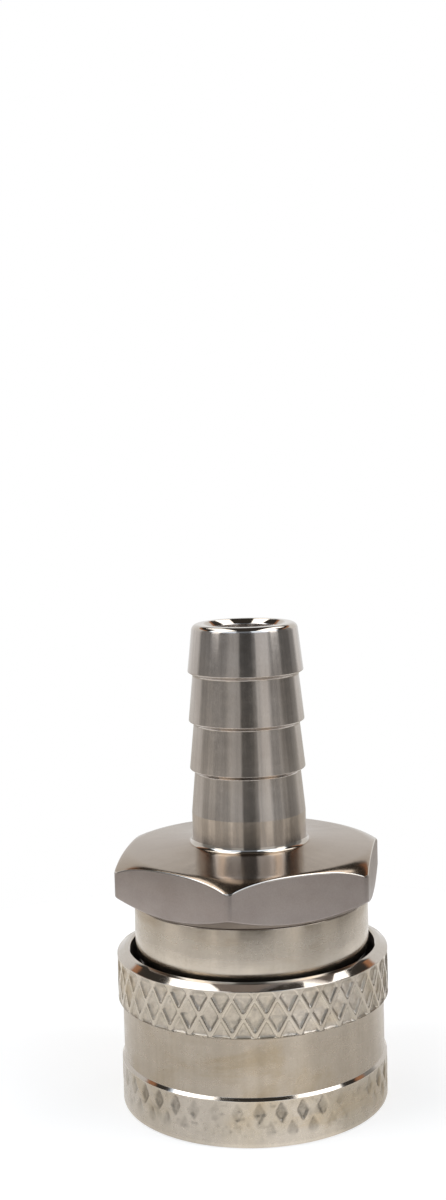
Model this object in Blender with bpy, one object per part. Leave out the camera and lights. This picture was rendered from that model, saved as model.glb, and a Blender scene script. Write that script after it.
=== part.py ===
"""Quick disconnect coupler, female half, with a hose barb.

A straight-through ball-lock socket in stainless steel.  It stands on its mouth,
with the barb up.  Origin: on the turning axis, in the plane of the sleeve's
lower face.  +Z runs up the axis, towards the hose.

Pieces: hose barb adapter (hex, barb and threaded spigot), socket body, locking
sleeve, sleeve spring, retaining ring, twelve locking balls, plug O-ring and
adapter gasket.
"""

import math

import bmesh
import bpy
from mathutils import Matrix, Vector

MM = 0.001  # every dimension below is in millimetres

# ---------------------------------------------------------------- dimensions
SEGMENTS = 48  # facets round a turned piece, a multiple of the balls and of the hex's sides

# hose barb adapter
TIP_Z = 58.1  # end face of the barb
TIP_R = 6.35
TIP_CHAMFER = 0.4
BARB_R = 7.0  # crest of each barb, for a hose of 12.7 mm bore
BARB_ROOT_R = 6.42
BARB_Z = (52.2, 46.25, 40.45)  # underside of each barb
BARB_STEP = 0.12  # rise of a barb's undercut
NECK_R = 6.9
NECK_Z = 35.5  # lower end of the last cone
NECK_FILLET = 0.5
BORE_R = 4.4  # flow bore through the barb
BORE_CHAMFER = 0.55
HEX_AF = 30.0  # across flats
HEX_TURN = 0.0  # degrees, azimuth of the front corner from -Y
HEX_Z = (24.85, 31.5)
HEX_DISC_R = (14.35, 13.65)  # where the lower and the upper chamfer start
HEX_CHAMFER = math.tan(math.radians(31))
SPIGOT_R = 12.0  # thread crest
SPIGOT_Z = 19.45  # lower end of the spigot
RELIEF_R = 11.2
RELIEF_Z = 23.9
FUNNEL_R = 7.5  # the spigot's bore narrows from here to the flow bore
FUNNEL_Z = 25.2

# socket body
MOUTH_Z = 0.2
MOUTH_CHAMFER = 0.7
NOSE_R = 12.5
SOCKET_R = 9.7  # front bore, for the plug's body
SOCKET_DEPTH_Z = 12.2
SEAL_BORE_R = 8.1  # rear bore, for the plug's nose
ORING_GROOVE_Z = (13.7, 17.0)
ORING_GROOVE_R = 10.5
GASKET_SEAT_Z = 18.4
BODY_THREAD_R = 12.2
BARREL_R = 14.2
BARREL_Z = (18.2, 24.75)
BARREL_CHAMFER = (0.45, 1.55)  # its lower edge: radial, axial
RING_GROOVE_Z = (1.2, 2.5)
RING_GROOVE_R = 11.9

# locking balls
BALLS = 12
BALL_R = 1.985
BALL_Z = 7.8
BALL_CENTRE_R = 10.615  # locked
BALL_TRAVEL = 1.1
BALL_HOLE_R = 2.1
BALL_LIP_R = 1.85  # keeps a ball from falling into the socket
BALL_LIP_DEPTH = 0.6

# locking sleeve
SLEEVE_TRAVEL = 5.0
SLEEVE_TOP_Z = 19.0
SLEEVE_REAR_R = 15.0  # bore over the spring and the barrel
LAND_R = 12.85  # holds the balls in
LAND_Z = (7.3, 8.9)
RELEASE_R = 13.8  # room for the balls when the sleeve is drawn back
RAMP_Z = 5.65
SHOULDER_Z = 2.5  # rests on the retaining ring
COUNTERBORE_R = 14.7
UPPER_BAND_R = 16.5
UPPER_BAND_Z = (12.9, 18.3)
WAIST_R = 15.95
LOWER_BAND_R = 16.25
LOWER_BAND_Z = (0.5, 5.5)

# retaining ring, spring, seals
RING_R = (12.0, 14.3)
RING_Z = (1.3, 2.4)
RING_GAP = 4.0
WIRE_R = 0.48
COIL_R = 13.4
SPRING_Z = (9.0, 18.1)
SPRING_TURNS = 3.25
SPRING_DEAD_TURNS = 0.75
SPRING_DEAD_PITCH = 1.0
ORING_R = 9.08
ORING_WIRE_R = 1.31
ORING_Z = 15.35
GASKET_R = (8.4, 11.9)
GASKET_Z = (18.5, 19.35)


# ---------------------------------------------------------------- helpers
def clear_scene():
    for obj in list(bpy.data.objects):
        bpy.data.objects.remove(obj)


def material(name, colour, roughness, metallic):
    made = bpy.data.materials.new(name)
    made.use_nodes = True
    shader = made.node_tree.nodes["Principled BSDF"]
    shader.inputs["Base Color"].default_value = (*colour, 1.0)
    shader.inputs["Roughness"].default_value = roughness
    shader.inputs["Metallic"].default_value = metallic
    return made


def add_object(name, mesh, mat, sharp_degrees=25.0):
    obj = bpy.data.objects.new(name, mesh)
    bpy.context.scene.collection.objects.link(obj)
    if mat is not None:
        mesh.materials.append(mat)
    mesh.shade_smooth()
    mesh.set_sharp_from_angle(angle=math.radians(sharp_degrees))
    return obj


def mesh_from(name, bm):
    bmesh.ops.recalc_face_normals(bm, faces=bm.faces)
    mesh = bpy.data.meshes.new(name)
    bm.to_mesh(mesh)
    bm.free()
    return mesh


def turned(name, profile, segments=SEGMENTS, phase=0.0, sweep=360.0):
    """Closed profile swept round Z.  profile is a list of (r, z), or a function of
    the azimuth that gives such a list, always of the same length.  Azimuth 0 is
    the -Y side, and a sweep under 360 degrees gets flat ends."""
    section = profile if callable(profile) else (lambda azimuth: profile)
    whole = sweep >= 360.0
    columns = segments if whole else segments + 1
    bm = bmesh.new()
    grid = []
    for i in range(columns):
        azimuth = phase + sweep * i / segments
        a = math.radians(azimuth)
        grid.append(
            [
                bm.verts.new((r * MM * math.sin(a), -r * MM * math.cos(a), z * MM))
                for r, z in section(azimuth)
            ]
        )
    rows = len(grid[0])
    for i in range(columns if whole else columns - 1):
        here, there = grid[i], grid[(i + 1) % columns]
        for j in range(rows):
            k = (j + 1) % rows
            bm.faces.new((here[j], there[j], there[k], here[k]))
    if not whole:
        bm.faces.new(grid[0])
        bm.faces.new(grid[-1])
    return mesh_from(name, bm)


def on_axis(radius, azimuth_degrees, z):
    a = math.radians(azimuth_degrees)
    return Vector((radius * math.sin(a), -radius * math.cos(a), z)) * MM


# ---------------------------------------------------------------- hose barb adapter
def adapter_profile(azimuth):
    """The adapter's section at one azimuth.  Only the hex depends on it: there the
    radius runs out to the flat, and the chamfers cut the corners lower."""
    flat = (azimuth - HEX_TURN + 30.0) % 60.0 - 30.0  # from the nearest corner
    from_flat = math.radians(30.0 - abs(flat))
    hex_r = HEX_AF / 2 / math.cos(from_flat)
    low = HEX_Z[0] + (hex_r - HEX_DISC_R[0]) * HEX_CHAMFER
    high = HEX_Z[1] - (hex_r - HEX_DISC_R[1]) * HEX_CHAMFER
    outer = [
        (SPIGOT_R - 0.6, SPIGOT_Z),
        (SPIGOT_R, SPIGOT_Z + 0.6),
        (SPIGOT_R, RELIEF_Z - 0.4),
        (RELIEF_R, RELIEF_Z + 0.2),
        (RELIEF_R, HEX_Z[0]),
        (HEX_DISC_R[0], HEX_Z[0]),
        (hex_r, low),
        (hex_r, high),
        (HEX_DISC_R[1], HEX_Z[1]),
        (NECK_R + NECK_FILLET, HEX_Z[1]),
        (NECK_R + 0.3 * NECK_FILLET, HEX_Z[1] + 0.3 * NECK_FILLET),
        (NECK_R, HEX_Z[1] + NECK_FILLET),
        (NECK_R, NECK_Z),
    ]
    for z in reversed(BARB_Z):  # upwards: root of the cone below, then the crest of this barb
        outer.append((BARB_ROOT_R, z))
        outer.append((BARB_R, z + BARB_STEP))
    outer += [
        (TIP_R, TIP_Z - TIP_CHAMFER),
        (TIP_R - TIP_CHAMFER, TIP_Z),
    ]
    inner = [
        (BORE_R + BORE_CHAMFER, TIP_Z),
        (BORE_R, TIP_Z - BORE_CHAMFER),
        (BORE_R, FUNNEL_Z),
        (FUNNEL_R, SPIGOT_Z + 0.3),
        (FUNNEL_R + 0.3, SPIGOT_Z),
    ]
    return outer + inner


def build_adapter(mat):
    return add_object("hose_barb_adapter", turned("hose_barb_adapter", adapter_profile, phase=HEX_TURN), mat)


# ---------------------------------------------------------------- socket body
BODY_PROFILE = [
    (NOSE_R - 0.4, MOUTH_Z),
    (NOSE_R, MOUTH_Z + 0.4),
    (NOSE_R, RING_GROOVE_Z[0]),
    (RING_GROOVE_R, RING_GROOVE_Z[0]),
    (RING_GROOVE_R, RING_GROOVE_Z[1]),
    (NOSE_R, RING_GROOVE_Z[1]),
    (NOSE_R, BARREL_Z[0]),
    (BARREL_R - BARREL_CHAMFER[0], BARREL_Z[0]),
    (BARREL_R, BARREL_Z[0] + BARREL_CHAMFER[1]),
    (BARREL_R, BARREL_Z[1] - 0.15),
    (BARREL_R - 0.15, BARREL_Z[1]),
    (BODY_THREAD_R + 0.6, BARREL_Z[1]),
    (BODY_THREAD_R, BARREL_Z[1] - 0.6),
    (BODY_THREAD_R, GASKET_SEAT_Z),
    (SEAL_BORE_R, GASKET_SEAT_Z),
    (SEAL_BORE_R, ORING_GROOVE_Z[1]),
    (ORING_GROOVE_R, ORING_GROOVE_Z[1]),
    (ORING_GROOVE_R, ORING_GROOVE_Z[0]),
    (SEAL_BORE_R, ORING_GROOVE_Z[0]),
    (SEAL_BORE_R, SOCKET_DEPTH_Z + 0.5),
    (SEAL_BORE_R + 0.5, SOCKET_DEPTH_Z),
    (SOCKET_R, SOCKET_DEPTH_Z),
    (SOCKET_R, MOUTH_Z + MOUTH_CHAMFER),
    (SOCKET_R + MOUTH_CHAMFER, MOUTH_Z),
]


def ball_hole_cutter():
    """Twelve stepped plugs, one for each ball's radial hole, in one helper object."""
    slope = (BALL_HOLE_R - BALL_LIP_R) / BALL_LIP_DEPTH
    stations = [
        (8.9, BALL_LIP_R - slope * (SOCKET_R - 8.9)),
        (SOCKET_R + BALL_LIP_DEPTH, BALL_HOLE_R),
        (13.6, BALL_HOLE_R),
    ]
    sides = 16
    bm = bmesh.new()
    for n in range(BALLS):
        turn = Matrix.Rotation(2 * math.pi * n / BALLS, 4, "Z")
        rings = []
        for out, radius in stations:
            ring = []
            for k in range(sides):
                a = 2 * math.pi * (k + 0.5) / sides
                local = Vector((radius * math.cos(a), -out, BALL_Z + radius * math.sin(a))) * MM
                ring.append(bm.verts.new(turn @ local))
            rings.append(ring)
        for one, two in zip(rings, rings[1:]):
            for k in range(sides):
                m = (k + 1) % sides
                bm.faces.new((one[k], one[m], two[m], two[k]))
        bm.faces.new(rings[0])
        bm.faces.new(rings[-1])
    cutter = add_object("ball_hole_cutter", mesh_from("ball_hole_cutter", bm), None)
    cutter.hide_render = True
    cutter.display_type = "WIRE"
    return cutter


def build_body(mat):
    body = add_object("socket_body", turned("socket_body", BODY_PROFILE), mat)
    cut = body.modifiers.new("ball_holes", "BOOLEAN")
    cut.operation = "DIFFERENCE"
    cut.solver = "EXACT"
    cut.object = ball_hole_cutter()
    return body


# ---------------------------------------------------------------- locking sleeve
SLEEVE_PROFILE = [
    (LOWER_BAND_R - 0.5, 0.0),
    (LOWER_BAND_R, LOWER_BAND_Z[0]),
    (LOWER_BAND_R, LOWER_BAND_Z[1]),
    (WAIST_R, LOWER_BAND_Z[1] + 0.4),
    (WAIST_R, UPPER_BAND_Z[0] - 0.25),
    (UPPER_BAND_R, UPPER_BAND_Z[0]),
    (UPPER_BAND_R, UPPER_BAND_Z[1]),
    (UPPER_BAND_R - 0.95, SLEEVE_TOP_Z),
    (SLEEVE_REAR_R + 0.15, SLEEVE_TOP_Z),
    (SLEEVE_REAR_R, SLEEVE_TOP_Z - 0.15),
    (SLEEVE_REAR_R, LAND_Z[1]),
    (LAND_R, LAND_Z[1]),
    (LAND_R, LAND_Z[0]),
    (RELEASE_R, RAMP_Z),
    (RELEASE_R, SHOULDER_Z),
    (COUNTERBORE_R, SHOULDER_Z),
    (COUNTERBORE_R, 0.35),
    (COUNTERBORE_R + 0.35, 0.0),
]


def build_sleeve(mat):
    return add_object("locking_sleeve", turned("locking_sleeve", SLEEVE_PROFILE), mat)


# ---------------------------------------------------------------- spring, ring, balls, seals
def spring_height(turn):
    """Height of the wire's centre above the first one after this many turns: flat
    dead coils at both ends and an even rise between them."""
    total = SPRING_Z[1] - SPRING_Z[0] - 2 * WIRE_R
    dead = SPRING_DEAD_TURNS * SPRING_DEAD_PITCH
    rise = (total - 2 * dead) / (SPRING_TURNS - 2 * SPRING_DEAD_TURNS)
    if turn < SPRING_DEAD_TURNS:
        return turn * SPRING_DEAD_PITCH
    if turn < SPRING_TURNS - SPRING_DEAD_TURNS:
        return dead + (turn - SPRING_DEAD_TURNS) * rise
    return total - (SPRING_TURNS - turn) * SPRING_DEAD_PITCH


def build_spring(mat):
    curve = bpy.data.curves.new("sleeve_spring", "CURVE")
    curve.dimensions = "3D"
    curve.bevel_depth = WIRE_R * MM
    curve.bevel_resolution = 2
    curve.use_fill_caps = True
    count = round(SPRING_TURNS * 20) + 1
    line = curve.splines.new("POLY")
    line.points.add(count - 1)
    for i in range(count):
        turn = SPRING_TURNS * i / (count - 1)
        p = on_axis(COIL_R, 360.0 * turn + 40.0, SPRING_Z[0] + WIRE_R + spring_height(turn))
        line.points[i].co = (*p, 1.0)
    obj = bpy.data.objects.new("sleeve_spring", curve)
    bpy.context.scene.collection.objects.link(obj)
    curve.materials.append(mat)
    return obj


def build_ring(mat):
    """Flat snap ring with an open gap, so that it springs over the nose into its groove."""
    gap = math.degrees(RING_GAP / RING_R[1])
    section = [
        (RING_R[0], RING_Z[0]),
        (RING_R[1] - 0.15, RING_Z[0]),
        (RING_R[1], RING_Z[0] + 0.15),
        (RING_R[1], RING_Z[1]),
        (RING_R[0], RING_Z[1]),
    ]
    mesh = turned("retaining_ring", section, 44, 180.0 + gap / 2, 360.0 - gap)
    return add_object("retaining_ring", mesh, mat)


def build_balls(mat):
    """Each ball hangs from an empty on its own radial axis, and slides along it."""
    bm = bmesh.new()
    bmesh.ops.create_uvsphere(bm, u_segments=12, v_segments=8, radius=BALL_R * MM)
    mesh = mesh_from("locking_ball", bm)
    mesh.shade_smooth()
    mesh.materials.append(mat)
    for n in range(BALLS):
        azimuth = 360.0 * n / BALLS
        seat = bpy.data.objects.new(f"ball_axis_{n + 1:02d}", None)
        seat.empty_display_size = 0.002
        bpy.context.scene.collection.objects.link(seat)
        seat.location = on_axis(BALL_CENTRE_R, azimuth, BALL_Z)
        seat.rotation_euler = (0.0, 0.0, math.radians(azimuth))
        ball = bpy.data.objects.new(f"locking_ball_{n + 1:02d}", mesh)
        bpy.context.scene.collection.objects.link(ball)
        ball.parent = seat


def build_oring(mat):
    ring, sides = SEGMENTS, 10
    section = [
        (
            ORING_R + ORING_WIRE_R * math.cos(2 * math.pi * k / sides),
            ORING_Z + ORING_WIRE_R * math.sin(2 * math.pi * k / sides),
        )
        for k in range(sides)
    ]
    obj = add_object("plug_oring", turned("plug_oring", section, ring), mat, 60.0)
    return obj


def build_gasket(mat):
    section = [
        (GASKET_R[0], GASKET_Z[0]),
        (GASKET_R[1], GASKET_Z[0]),
        (GASKET_R[1], GASKET_Z[1]),
        (GASKET_R[0], GASKET_Z[1]),
    ]
    return add_object("adapter_gasket", turned("adapter_gasket", section), mat)


def main():
    clear_scene()
    turned_steel = material("stainless_turned", (0.52, 0.49, 0.46), 0.24, 1.0)
    sleeve_steel = material("stainless_sleeve", (0.56, 0.52, 0.46), 0.30, 1.0)
    ball_steel = material("ball_steel", (0.72, 0.72, 0.72), 0.08, 1.0)
    spring_steel = material("spring_steel", (0.42, 0.41, 0.40), 0.30, 1.0)
    silicone = material("silicone_seal", (0.47, 0.11, 0.06), 0.55, 0.0)
    ptfe = material("ptfe_gasket", (0.82, 0.81, 0.78), 0.45, 0.0)
    build_adapter(turned_steel)
    build_body(turned_steel)
    build_sleeve(sleeve_steel)
    build_spring(spring_steel)
    build_ring(spring_steel)
    build_balls(ball_steel)
    build_oring(silicone)
    build_gasket(ptfe)


main()
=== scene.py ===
"""Looks of the quick disconnect coupler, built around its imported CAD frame.

Every piece is rebuilt at full detail in the place that its CAD node holds: turned
parts with small edge rounds, a milled hex, a knurled sleeve, a wound spring.
"""

import math

import bmesh
import bpy
import numpy as np
from mathutils import Matrix, Vector


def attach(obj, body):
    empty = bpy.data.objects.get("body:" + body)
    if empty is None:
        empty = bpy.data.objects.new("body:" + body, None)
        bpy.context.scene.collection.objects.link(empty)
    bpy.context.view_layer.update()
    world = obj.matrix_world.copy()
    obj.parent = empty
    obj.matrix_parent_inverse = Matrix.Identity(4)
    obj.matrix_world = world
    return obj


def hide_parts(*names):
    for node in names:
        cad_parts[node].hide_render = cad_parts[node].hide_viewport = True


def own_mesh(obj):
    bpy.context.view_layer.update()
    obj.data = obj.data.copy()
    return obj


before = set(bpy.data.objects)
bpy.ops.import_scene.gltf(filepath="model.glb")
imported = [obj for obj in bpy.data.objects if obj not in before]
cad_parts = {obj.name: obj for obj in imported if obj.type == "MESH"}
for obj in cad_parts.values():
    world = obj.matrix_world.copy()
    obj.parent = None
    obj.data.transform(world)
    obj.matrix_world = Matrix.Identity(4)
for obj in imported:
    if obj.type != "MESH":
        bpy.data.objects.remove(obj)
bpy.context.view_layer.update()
MM = 0.001
scene = bpy.context.scene


# ------------------------------------------------------------------ node helpers
class Tree:
    """Short forms for making shader nodes."""

    def __init__(self, tree):
        self.tree = tree
        self.tree.nodes.clear()

    def node(self, kind, **settings):
        made = self.tree.nodes.new(kind)
        for key, value in settings.items():
            setattr(made, key, value)
        return made

    def put(self, socket, value):
        if isinstance(value, bpy.types.NodeSocket):
            self.tree.links.new(value, socket)
        else:
            socket.default_value = value

    def math(self, operation, a, b=0.0, c=0.0, clamp=False):
        made = self.node("ShaderNodeMath", operation=operation, use_clamp=clamp)
        for socket, value in zip(made.inputs, (a, b, c)):
            self.put(socket, value)
        return made.outputs[0]

    def ramp(self, value, low, high, to_low=0.0, to_high=1.0, smooth=True):
        made = self.node("ShaderNodeMapRange", clamp=True)
        made.interpolation_type = "SMOOTHSTEP" if smooth else "LINEAR"
        for socket, v in zip(made.inputs, (value, low, high, to_low, to_high)):
            self.put(socket, v)
        return made.outputs[0]

    def vector(self, x, y, z):
        made = self.node("ShaderNodeCombineXYZ")
        for socket, v in zip(made.inputs, (x, y, z)):
            self.put(socket, v)
        return made.outputs[0]

    def noise(self, vector, scale, detail=3.0, rough=0.55, distortion=0.0):
        made = self.node("ShaderNodeTexNoise", noise_dimensions="3D")
        self.put(made.inputs["Vector"], vector)
        made.inputs["Scale"].default_value = scale
        made.inputs["Detail"].default_value = detail
        made.inputs["Roughness"].default_value = rough
        made.inputs["Distortion"].default_value = distortion
        return made.outputs["Fac"]

    def mix(self, fac, a, b):
        made = self.node("ShaderNodeMix", data_type="RGBA")
        self.put(made.inputs[0], fac)
        for socket, v in ((made.inputs[6], a), (made.inputs[7], b)):
            self.put(socket, (*v, 1.0) if isinstance(v, tuple) and len(v) == 3 else v)
        return made.outputs[2]

    def add_all(self, *values):
        total = values[0]
        for v in values[1:]:
            total = self.math("ADD", total, v)
        return total

    def cylinder(self):
        """Places on a turned part: x and y on a unit circle, the radius and the height, in mm."""
        place = self.node("ShaderNodeTexCoord").outputs["Object"]
        parts = self.node("ShaderNodeSeparateXYZ")
        self.put(parts.inputs[0], place)
        x, y, z = (self.math("MULTIPLY", parts.outputs[i], 1000.0) for i in range(3))
        radius = self.math("SQRT", self.math("ADD", self.math("MULTIPLY", x, x), self.math("MULTIPLY", y, y)))
        safe = self.math("MAXIMUM", radius, 0.05)
        return self.math("DIVIDE", x, safe), self.math("DIVIDE", y, safe), radius, z, self.vector(x, y, z)


def metal(
    name,
    colour,
    tint,
    roughness,
    rough_spread=0.06,
    lathe=0.0,
    lathe_pitch=0.09,
    axial=0.0,
    grit=0.0,
    mottle=0.5,
    anisotropic=0.0,
    pocket=None,
    pit=None,
    wear_and_sheen=None,
    polished=0.14,
    stain=None,
):
    """Bare metal.  colour and tint are the two ends of its slow colour drift; lathe is the
    height in mm of the turning marks, axial the strength of faint streaks along the axis,
    grit the height in mm of a fine blasted texture.  pocket names a mesh attribute, 0 to 1,
    of the floor of the knurl's pockets, which is rougher, with painted shade on the pockets'
    walls; pit another, of shallow pits whose floors are drawn darker; wear_and_sheen names one
    of the edges and rims that are polished, down to the roughness polished, and drawn lighter
    as a painted highlight.  stain is the colour of faint patches."""
    made = bpy.data.materials.new(name)
    made.use_nodes = True
    t = Tree(made.node_tree)
    out = t.node("ShaderNodeOutputMaterial")
    shader = t.node("ShaderNodeBsdfPrincipled")
    t.tree.links.new(shader.outputs[0], out.inputs[0])
    cx, cy, radius, z, xyz = t.cylinder()

    # colour: slow drift, axial streaks, fine speckle
    drift = t.noise(xyz, 0.16 * mottle, 4.0, 0.6)
    rings = t.noise(t.vector(t.math("MULTIPLY", cx, 0.35), t.math("MULTIPLY", cy, 0.35), t.math("ADD", z, t.math("MULTIPLY", radius, 1.3))), 1.7, 3.0, 0.6)
    streaks = t.noise(t.vector(t.math("MULTIPLY", cx, 14.0), t.math("MULTIPLY", cy, 14.0), t.math("MULTIPLY", z, 0.05)), 1.0, 4.0, 0.6)
    speckle = t.noise(xyz, 5.5, 2.0, 0.7)
    blend = t.add_all(
        t.math("MULTIPLY", t.ramp(drift, 0.32, 0.68), 0.62),
        t.math("MULTIPLY", rings, 0.22),
        t.math("MULTIPLY", streaks, 0.16 + axial),
    )
    base = t.mix(t.ramp(blend, 0.2, 0.85, smooth=False), colour, tint)
    if stain:
        patch = t.noise(t.vector(t.math("MULTIPLY", cx, 1.6), t.math("MULTIPLY", cy, 1.6), t.math("MULTIPLY", z, 0.16)), 1.0, 5.0, 0.6, 0.6)
        base = t.mix(t.math("MULTIPLY", t.ramp(patch, 0.46, 0.72), 0.75), base, stain)
    shade = t.ramp(speckle, 0.3, 0.7, 0.955, 1.03)
    if axial:
        shade = t.math("MULTIPLY", shade, t.ramp(streaks, 0.3, 0.7, 1.0 - axial, 1.0 + 0.6 * axial))
    if pocket:
        floor = t.node("ShaderNodeAttribute", attribute_name=pocket).outputs["Fac"]
        pocket_mottle = t.noise(xyz, 2.6, 4.0, 0.7)
        # painted shade: the pockets' walls are drawn darker, most at their middle
        corner = t.math("MULTIPLY", t.math("MULTIPLY", floor, t.math("SUBTRACT", 1.0, floor)), 0.55)
        shade = t.math("MULTIPLY", shade, t.math("SUBTRACT", 1.0, corner))
        shade = t.math("MULTIPLY", shade, t.math("SUBTRACT", 1.0, t.math("MULTIPLY", floor, t.ramp(pocket_mottle, 0.3, 0.75, -0.34, -0.04))))
    if pit:
        # the floors of the lower band's pits are drawn darker
        pit_depth = t.node("ShaderNodeAttribute", attribute_name=pit).outputs["Fac"]
        shade = t.math("MULTIPLY", shade, t.math("SUBTRACT", 1.0, t.math("MULTIPLY", pit_depth, t.ramp(pocket_mottle, 0.3, 0.7, 0.5, 0.26))))
    if wear_and_sheen:
        edge = t.node("ShaderNodeAttribute", attribute_name=wear_and_sheen).outputs["Fac"]
        # polish from wear shows in the roughness; the lighter colour on edges and rims is a painted highlight
        shade = t.math("MULTIPLY", shade, t.math("ADD", 1.0, t.math("MULTIPLY", edge, 0.16)))
    scaled = t.node("ShaderNodeVectorMath", operation="SCALE")
    t.put(scaled.inputs[0], base)
    t.put(scaled.inputs["Scale"], shade)
    t.put(shader.inputs["Base Color"], scaled.outputs[0])
    shader.inputs["Metallic"].default_value = 1.0

    # roughness: turning marks come and go, handling polishes
    rough_noise = t.noise(t.vector(t.math("MULTIPLY", cx, 3.0), t.math("MULTIPLY", cy, 3.0), t.math("MULTIPLY", z, 0.8)), 1.3, 5.0, 0.62)
    smear = t.noise(xyz, 0.9, 4.0, 0.65, 0.8)
    rough = t.add_all(
        roughness - rough_spread,
        t.math("MULTIPLY", t.ramp(rough_noise, 0.3, 0.7), rough_spread * 1.2),
        t.math("MULTIPLY", t.ramp(smear, 0.35, 0.7), rough_spread * 0.8),
    )
    if pocket:
        rough = t.math("ADD", rough, t.math("MULTIPLY", floor, 0.07))
    if wear_and_sheen:
        blank = t.node("ShaderNodeMix", data_type="FLOAT")
        for socket, value in zip(blank.inputs[:1] + blank.inputs[2:4], (edge, rough, t.ramp(rough_noise, 0.3, 0.7, polished - 0.02, polished + 0.03))):
            t.put(socket, value)
        rough = blank.outputs[0]
    t.put(shader.inputs["Roughness"], t.math("MAXIMUM", rough, 0.04))

    # relief
    height = None
    if lathe:
        along = t.math("ADD", z, radius)
        groove = t.noise(t.vector(t.math("MULTIPLY", cx, 0.4), t.math("MULTIPLY", cy, 0.4), t.math("DIVIDE", along, lathe_pitch)), 1.0, 2.0, 0.5)
        broad = t.noise(t.vector(t.math("MULTIPLY", cx, 0.6), t.math("MULTIPLY", cy, 0.6), t.math("DIVIDE", along, lathe_pitch * 7.0)), 1.0, 2.0, 0.5)
        height = t.math("MULTIPLY", t.math("ADD", groove, t.math("MULTIPLY", broad, 1.4)), lathe)
    if grit:
        fine = t.math("MULTIPLY", t.noise(xyz, 6.5, 3.0, 0.65), grit)
        if pocket:
            fine = t.math("MULTIPLY", fine, t.math("ADD", 0.35, t.math("MULTIPLY", floor, 3.2)))
        height = fine if height is None else t.math("ADD", height, fine)
    wave = t.math("MULTIPLY", t.noise(xyz, 0.55, 2.0, 0.5), 0.006)
    height = wave if height is None else t.math("ADD", height, wave)
    bump = t.node("ShaderNodeBump")
    bump.inputs["Strength"].default_value = 1.0
    bump.inputs["Distance"].default_value = MM
    t.put(bump.inputs["Height"], height)
    t.put(shader.inputs["Normal"], bump.outputs[0])
    if anisotropic:
        shader.inputs["Anisotropic"].default_value = anisotropic
        shader.inputs["Anisotropic Rotation"].default_value = 0.25  # the marks run round the axis, so the gloss spreads across them
        tangent = t.node("ShaderNodeTangent", direction_type="RADIAL", axis="Z")
        t.put(shader.inputs["Tangent"], tangent.outputs[0])
    return made


def soft_seal(name, colour, tint, roughness, sheen_bump):
    """Rubber or PTFE: moulded, slightly mottled, with a fine grain."""
    made = bpy.data.materials.new(name)
    made.use_nodes = True
    t = Tree(made.node_tree)
    out = t.node("ShaderNodeOutputMaterial")
    shader = t.node("ShaderNodeBsdfPrincipled")
    t.tree.links.new(shader.outputs[0], out.inputs[0])
    _, _, _, _, xyz = t.cylinder()
    t.put(shader.inputs["Base Color"], t.mix(t.ramp(t.noise(xyz, 0.8, 5.0, 0.65), 0.3, 0.7), colour, tint))
    t.put(shader.inputs["Roughness"], t.ramp(t.noise(xyz, 2.2, 4.0), 0.3, 0.7, roughness - 0.08, roughness + 0.08))
    shader.inputs["Specular IOR Level"].default_value = 0.45
    bump = t.node("ShaderNodeBump")
    bump.inputs["Strength"].default_value = 1.0
    bump.inputs["Distance"].default_value = MM
    t.put(bump.inputs["Height"], t.math("MULTIPLY", t.noise(xyz, 7.0, 3.0, 0.6), sheen_bump))
    t.put(shader.inputs["Normal"], bump.outputs[0])
    return made


# ------------------------------------------------------------------ mesh helpers
def finish_mesh(name, bm, material, sharp=32.0):
    bmesh.ops.recalc_face_normals(bm, faces=bm.faces)
    mesh = bpy.data.meshes.new(name)
    bm.to_mesh(mesh)
    bm.free()
    return place(name, mesh, material, sharp)


def place(name, mesh, material, sharp=32.0):
    mesh.materials.append(material)
    mesh.shade_smooth()
    if sharp:
        mesh.set_sharp_from_angle(angle=math.radians(sharp))
    made = bpy.data.objects.new(name, mesh)
    scene.collection.objects.link(made)
    return made


def rounded(points, closed=True):
    """Rounds a profile's corners.  points are (r, z), (r, z, radius) or (r, z, radius, steps);
    a corner with a radius becomes an arc of several points."""
    out = []
    n = len(points)
    for i, p in enumerate(points):
        radius = p[2] if len(p) > 2 else 0.0
        here = Vector(p[:2])
        if radius <= 0 or (not closed and i in (0, n - 1)):
            out.append(tuple(here))
            continue
        before, after = Vector(points[i - 1][:2]) - here, Vector(points[(i + 1) % n][:2]) - here
        la, lb = before.length, after.length
        a, b = before / la, after / lb
        angle = math.acos(max(-1.0, min(1.0, a.dot(b))))
        if angle > math.radians(176):
            out.append(tuple(here))
            continue
        cut = min(radius / math.tan(angle / 2), 0.48 * la, 0.48 * lb)
        true_radius = cut * math.tan(angle / 2)
        centre = here + (a + b).normalized() * (true_radius / math.sin(angle / 2))
        start, end = here + a * cut - centre, here + b * cut - centre
        sweep = start.angle_signed(end)  # clockwise positive
        steps = p[3] if len(p) > 3 else max(2, min(7, int(math.degrees(abs(sweep)) / 15) + 1))
        for k in range(steps + 1):
            turned_by = -sweep * k / steps
            c, s = math.cos(turned_by), math.sin(turned_by)
            out.append((centre.x + start.x * c - start.y * s, centre.y + start.x * s + start.y * c))
    return out


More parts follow.
